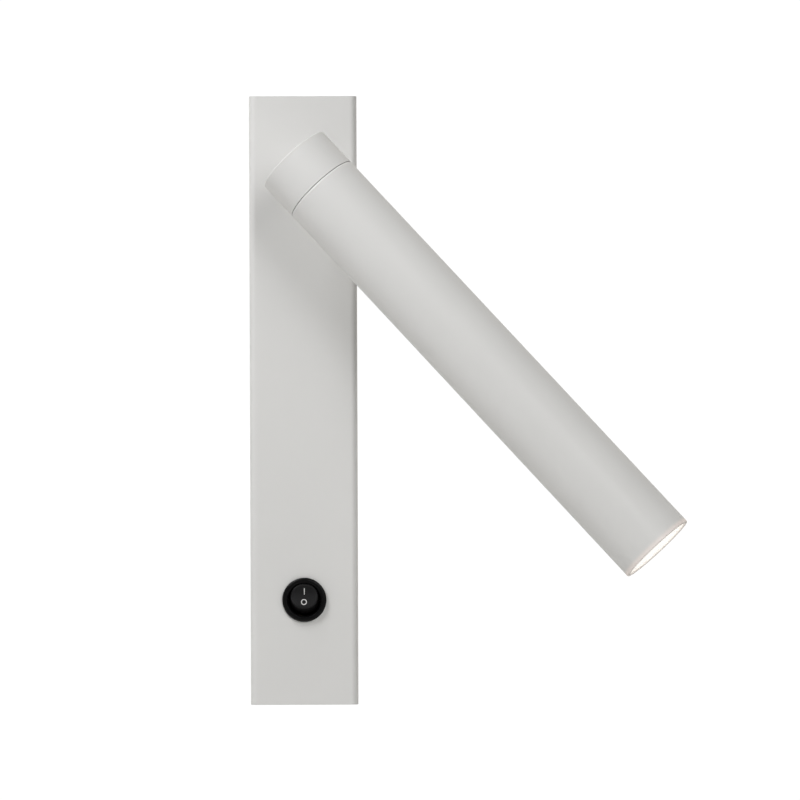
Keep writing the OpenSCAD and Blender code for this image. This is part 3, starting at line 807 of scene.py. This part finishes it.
cap = in_scene("tube_cap", turned("rear_cap", filleted([
    (0.0, rear_z), (head_r - CAP_CHAMFER, rear_z, 0.1 * MM), (head_r, rear_z - CAP_CHAMFER, 0.15 * MM),
    (head_r, cap_z, 0.08 * MM),
    (ring_r, cap_z), (ring_r, spigot_end, 0.3 * MM), (ring_r - SPIGOT_WALL, spigot_end),
    (ring_r - SPIGOT_WALL, cap_z + SPIGOT_LAND), (0.0, cap_z + SPIGOT_LAND),
])), head_place)
across_pin = head_place @ Matrix.Rotation(math.pi / 2, 4, "Y")
reach = 2 * head_r
carve(cap,
      block("slot_wall", (-slot_half, 0, -SLOT_FLOOR), (slot_half, reach, reach), head_place),
      block("slot_rear", (-slot_half, -SLOT_FLOOR, 0), (slot_half, reach, reach), head_place),
      bar("slot_round", SLOT_FLOOR, 2 * slot_half, across_pin),
      bar("pin_bore", PIN_R + 0.02 * MM, 3 * head_r, across_pin),
      bar("cable_hole", CABLE_HOLE_R, 2 * head_r,
          head_place @ Matrix.Translation((0, CABLE_OFF, CABLE_HOLE_MIDDLE))))
cap.data.set_sharp_from_angle(angle=math.radians(35))
dress(crisp(cap), "head", ["rear_cap"], white_paint)

# %% [markdown]
# ## The switch
# A round rocker switch snaps into the front: a bezel with a rounded outer edge and a small flare round
# its opening, on a barrel that reaches into the base. All of that is one turned section. The pin's
# bore and the slots for the blades are carved out, and the two snap clips are fused on. Its own axis
# points out of the front, so the heights below are distances in front of the cover.

# %% Switch housing
out_of_front = Matrix.Translation((0, face_y, switch_z)) @ Matrix.Rotation(math.pi / 2, 4, "X")
housing_low, housing_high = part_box("switch_housing")
bezel_r = housing_high.x
bezel_top = face_y - housing_low.y
barrel_end = face_y - housing_high.y
BARREL_R = 9.95 * MM
OPENING_R = 8.3 * MM
FLARE = 0.8 * MM
BARREL_FLOOR = 2.5 * MM
pivot_out = face_y - joints["switch_rocker"]["pos_m"][1]

housing = in_scene("switch_bezel", turned("switch_housing", filleted([
    (0.0, barrel_end + BARREL_FLOOR), (OPENING_R, barrel_end + BARREL_FLOOR, 0.5 * MM),
    (OPENING_R, bezel_top - FLARE, 0.25 * MM), (OPENING_R + FLARE, bezel_top, 0.25 * MM),
    (bezel_r, bezel_top, 1.1 * MM), (bezel_r, 0.0, 0.1 * MM),
    (BARREL_R, 0.0), (BARREL_R, barrel_end, 0.4 * MM), (0.0, barrel_end),
], steps=6)), out_of_front)
TAB_T, TAB_GAP, BLADES_AT = 0.8 * MM, 0.02 * MM, (0.0, -6.0 * MM)
PIN_BORE_R, BLADE_SLOT_DEEP = 1.25 * MM, 4.0 * MM
CLIP_OUT, CLIP_HALF_T, CLIP_HALF_W, CLIP_LONG = 10.3 * MM, 0.8 * MM, 2.0 * MM, 5.0 * MM
tabs_low, tabs_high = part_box("switch_tabs")
slot_half_w = (tabs_high.x - tabs_low.x) / 2 + TAB_GAP
slot_half_t = TAB_T / 2 + TAB_GAP
at_pivot = out_of_front @ Matrix.Translation((0, 0, pivot_out))
across_pivot = at_pivot @ Matrix.Rotation(math.pi / 2, 4, "Y")
cutters = [bar("rocker_pin_bore", PIN_BORE_R, 3 * BARREL_R, across_pivot)]
for blade_z in BLADES_AT:
    cutters.append(block("blade_slot", (-slot_half_w, blade_z - slot_half_t, barrel_end - MM),
                         (slot_half_w, blade_z + slot_half_t, barrel_end + BLADE_SLOT_DEEP),
                         out_of_front))
carve(housing, *cutters)
clips = []
for side in (-1, 1):
    low_corner = (-CLIP_HALF_W, side * CLIP_OUT - CLIP_HALF_T, -sheet - CLIP_LONG)
    high_corner = (CLIP_HALF_W, side * CLIP_OUT + CLIP_HALF_T, -sheet - 0.1 * MM)
    clips.append(block("snap_clip", low_corner, high_corner, out_of_front))
carve(housing, *clips, how="UNION")
housing.data.set_sharp_from_angle(angle=math.radians(40))
dress(crisp(housing), "base", ["switch_housing"], bezel_black)

# %% [markdown]
# The rocker is a round button whose face is a shallow valley, so that either half can lie flat while
# the other stands out. The valley could be cut out of a cylinder, but its edge would be hard to round
# evenly, so the button is drawn as rings from the middle outwards. Over the face, the height follows
# the valley, softened in its middle. At the edge the rings go round a fillet, and then down the tapered
# skirt. A finger rolls over the top and bottom of the rim, so the fillet is larger there than at the
# sides. Every ring has the same number of points, so only the fan of triangles in the middle isn't
# quads.

# %% Rocker
VALLEY = 7.2 * MM
HALF_THROW = math.radians(joints["switch_rocker"]["range_deg"][1] / 2)
BLEND = 3.0 * MM
SKIRT_R, SKIRT_LOW, TAPER = 7.7 * MM, 1.0 * MM, 0.115
SIDE_FILLET, FINGER_FILLET, FINGER_CUT = 0.8 * MM, 1.2 * MM, 0.42 * MM
HUB_R, HUB_LOW, HUB_FLOOR = 6.5 * MM, -1.5 * MM, 0.5 * MM
STEPS_ROUND = 128


def face_height(z):
    """Height of the rocker's face above its pin, at a distance up or down from the valley."""
    rise = abs(z) if abs(z) > BLEND else (z * z + BLEND * BLEND) / (2 * BLEND)
    return VALLEY + rise * math.tan(HALF_THROW)


def rocker_mesh():
    """The button as rings: over the face, round the fillet, down the skirt and up into the hub."""
    bm = bmesh.new()
    rings = []
    rounds = [2 * math.pi * k / STEPS_ROUND for k in range(STEPS_ROUND)]
    bend = [SIDE_FILLET + (FINGER_FILLET - SIDE_FILLET) * math.sin(a) ** 4 for a in rounds]
    rim = []
    for a, fillet in zip(rounds, bend):
        # the skirt tapers, so the edge's radius and height depend on each other: a few rounds settle both
        r = SKIRT_R
        for _ in range(4):
            r = SKIRT_R - (face_height(r * math.sin(a)) - fillet - SKIRT_LOW) * TAPER
        rim.append(r - fillet - FINGER_CUT * math.sin(a) ** 4)

    def ring(radius, height):
        points = [(radius(k) * math.cos(a), radius(k) * math.sin(a), k) for k, a in enumerate(rounds)]
        rings.append([bm.verts.new((x, y, height(y, k))) for x, y, k in points])

    rings.append([bm.verts.new((0, 0, face_height(0.0)))] * STEPS_ROUND)
    for share in steps_between(0.0, (1.0, 20))[1:]:
        ring(lambda k: rim[k] * share, lambda y, k: face_height(y))
    for turn_by in steps_between(0.0, (math.pi / 2, 8))[1:]:
        ring(lambda k: rim[k] + bend[k] * math.sin(turn_by),
             lambda y, k: face_height(y) - bend[k] * (1 - math.cos(turn_by)))
    for r, h in ((SKIRT_R, SKIRT_LOW), (HUB_R, SKIRT_LOW - 0.1 * MM), (HUB_R, HUB_LOW),
                 (PIN_BORE_R, HUB_LOW), (PIN_BORE_R, HUB_FLOOR)):
        ring(lambda k: r, lambda y, k: h)
    rings.append([bm.verts.new((0, 0, HUB_FLOOR))] * STEPS_ROUND)
    for outer_ring, next_ring in zip(rings, rings[1:]):
        for k in range(STEPS_ROUND):
            j = (k + 1) % STEPS_ROUND
            bm.faces.new(list(dict.fromkeys((outer_ring[k], outer_ring[j], next_ring[j], next_ring[k]))))
    return to_mesh("rocker", bm)


rocker_place = at_pivot @ Matrix.Rotation(-HALF_THROW, 4, "X")
rocker = in_scene("rocker_button", rocker_mesh(), rocker_place)
rocker.data.set_sharp_from_angle(angle=math.radians(40))
dress(crisp(rocker), "rocker", ["rocker"], rocker_black)

PINS_R, PINS_HALF = 1.2 * MM, 9.7 * MM
pins = turned("rocker_pins", filleted([(0, -PINS_HALF), (PINS_R, -PINS_HALF, 0.2 * MM),
                                       (PINS_R, PINS_HALF, 0.2 * MM), (0, PINS_HALF)]), 64)
pins_place = rocker_place @ Matrix.Rotation(math.pi / 2, 4, "Y")
dress(crisp(in_scene("rocker_pin", pins, pins_place)), "rocker", [], rocker_black)

# %% [markdown]
# The marks are printed ink, about a tenth of a millimetre thick. The I is a short bar on the upper
# half and the O a ring on the lower half. They could be a picture in the material, but ink follows
# the face it is printed on and stands out from it, so both marks are drawn as rows of points across
# the stroke: just under the skin, up to the ink's own height, and down again.

# %% Printed marks
INK, INK_ROOT = 0.12 * MM, 0.05 * MM
BAR_WIDTH, BAR_LOW, BAR_HIGH = 0.38 * MM, 0.9 * MM, 4.1 * MM
RING_WIDTH, RING_X, RING_Z = 0.46 * MM, -0.2 * MM, -3.0 * MM
RING_WIDE, RING_TALL = 1.28 * MM, 1.38 * MM


def printed(name, loops, closed):
    """Ink over the face. Each loop goes across the stroke, and its ends lie just under the skin."""
    bm = bmesh.new()
    rows = [[bm.verts.new((x, z, face_height(z) + lift)) for x, z, lift in loop] for loop in loops]
    count = len(rows[0])
    for k in range(len(rows) if closed else len(rows) - 1):
        this, following = rows[k], rows[(k + 1) % len(rows)]
        for i in range(count):
            j = (i + 1) % count
            bm.faces.new([this[i], this[j], following[j], following[i]])
    if not closed:
        bm.faces.new(rows[0])
        bm.faces.new(list(reversed(rows[-1])))
    piece = crisp(in_scene(name, to_mesh(name, bm), rocker_place), bevel_mm=0.03, segments=2)
    return dress(piece, "rocker", ["rocker_marks"], mark_ink)


def stroke(width):
    """The cross row of a stroke: sideways distance and lift, from one edge over to the other."""
    half = width / 2
    return [(-half, -INK_ROOT), (-half, INK), (half, INK), (half, -INK_ROOT)]


def ring_row(a):
    """The cross row of the O at an angle round it."""
    return [(RING_X + (RING_WIDE + out) * math.cos(a), RING_Z + (RING_TALL + out) * math.sin(a), lift)
            for out, lift in stroke(RING_WIDTH)]


bar_rows = [[(x, z, lift) for x, lift in stroke(BAR_WIDTH)]
            for z in steps_between(BAR_LOW, (BAR_HIGH, 12))]
printed("mark_one", bar_rows, closed=False)
printed("mark_o", [ring_row(a) for a in steps_between(0.0, (2 * math.pi, 72))[:-1]], closed=True)

# %% [markdown]
# ## Screws, washer and hinge pin
# One countersunk screw holds each end of the cover. Its head is flush and has a hexagonal socket. A
# lathe can't make a hexagon, so a bar with six sides is carved out of the turned head. The nylon washer
# under the stem's collar and the hinge pin are plain turned pieces with softly broken edges.

# %% Screws, washer, pin
SCREW_R = 1.5 * MM
SOCKET_R, SOCKET_LONG = 1.15 * MM, 2.0 * MM
tab_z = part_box("wall_bracket")[1].z - 2 * sheet
screw_long = screw_high.z - tab_z
for side, label in ((1, "top"), (-1, "bottom")):
    upright = Matrix.Rotation(0 if side > 0 else math.pi, 4, "X")
    head_up = Matrix.Translation((0, screw_y, side * screw_high.z)) @ upright
    screw = in_scene("cover_screw_" + label, turned("cover_screw", filleted([
        (0.0, 0.0), (screw_head_r, 0.0, 0.12 * MM), (SCREW_R, -SINK_DEPTH, 0.1 * MM),
        (SCREW_R, -screw_long, 0.3 * MM), (0.0, -screw_long),
    ]), 96), head_up)
    carve(screw, bar("socket", SOCKET_R, SOCKET_LONG, head_up, steps=6))
    screw.data.set_sharp_from_angle(angle=math.radians(30))
    dress(crisp(screw), "base", ["cover_screws"], zinc)

out_of_base = Matrix.Translation((0, 0, swivel_z)) @ Matrix.Rotation(math.pi / 2, 4, "X")
WASHER_BORE_R = 6.05 * MM
washer_low, washer_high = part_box("face_washer")
washer = turned("face_washer", filleted([
    (WASHER_BORE_R, -washer_high.y), (washer_high.x, -washer_high.y, 0.2 * MM),
    (washer_high.x, -washer_low.y, 0.2 * MM), (WASHER_BORE_R, -washer_low.y),
]))
dress(crisp(in_scene("nylon_washer", washer, out_of_base)), "base", ["face_washer"], nylon)

pin_half = max(abs((head_place.inverted() @ v.co).x) for v in frame["nodes"]["hinge_pin"].data.vertices)
pin = turned("hinge_pin", filleted([(0, -pin_half), (PIN_R, -pin_half, 0.3 * MM),
                                    (PIN_R, pin_half, 0.3 * MM), (0, pin_half)]), 64)
dress(crisp(in_scene("hinge_bar", pin, across_pin)), "head", ["hinge_pin"], zinc)

# %% [markdown]
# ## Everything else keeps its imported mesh
# The pieces inside the base and the head, and the back of the lamp, have the right shape already.
# The importer splits their points along sharp edges, so a Weld modifier joins them again, a small
# bevel takes the knife edge off, and weighted normals keep flat faces flat. Each node is then given
# the finish that its slot in the record names.

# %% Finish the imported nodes
finishes = {
    "white_paint": white_paint, "zinc_steel": zinc, "bare_aluminium": aluminium, "brass": brass,
    "black_plastic": bezel_black, "mark_white": mark_ink, "white_plastic": white_plastic,
    "nylon": nylon, "grommet_rubber": rubber, "opal_lens": nylon, "reflector_white": reflector_white,
    "board_white": board_mask, "phosphor": phosphor, **wires,
}
slot_of = {p["node"]: p["material_slot"] for p in frame["record"]["subparts"]}
for name, packed in frame["nodes"].items():
    if packed.hide_render:
        continue
    packed.data.materials.clear()
    packed.data.materials.append(finishes[slot_of[name]])
    weld = packed.modifiers.new("join_points", "WELD")
    weld.merge_threshold = 0.001 * MM
    crisp(packed, bevel_mm=0.08, segments=2)
print("finished", sum(not n.hide_render for n in frame["nodes"].values()), "packed nodes")

# %% [markdown]
# ## Floor finish
# The floor is plain pale paint, the recipe of the plastics with large, faint patches.

# %% Finish the scene
floor.data.materials.append(moulded("pale_floor", (0.80, 0.80, 0.79), 0.01, (0.55, 0.65), 3.0, 0.02,
                                    mottle_mm=200.0))
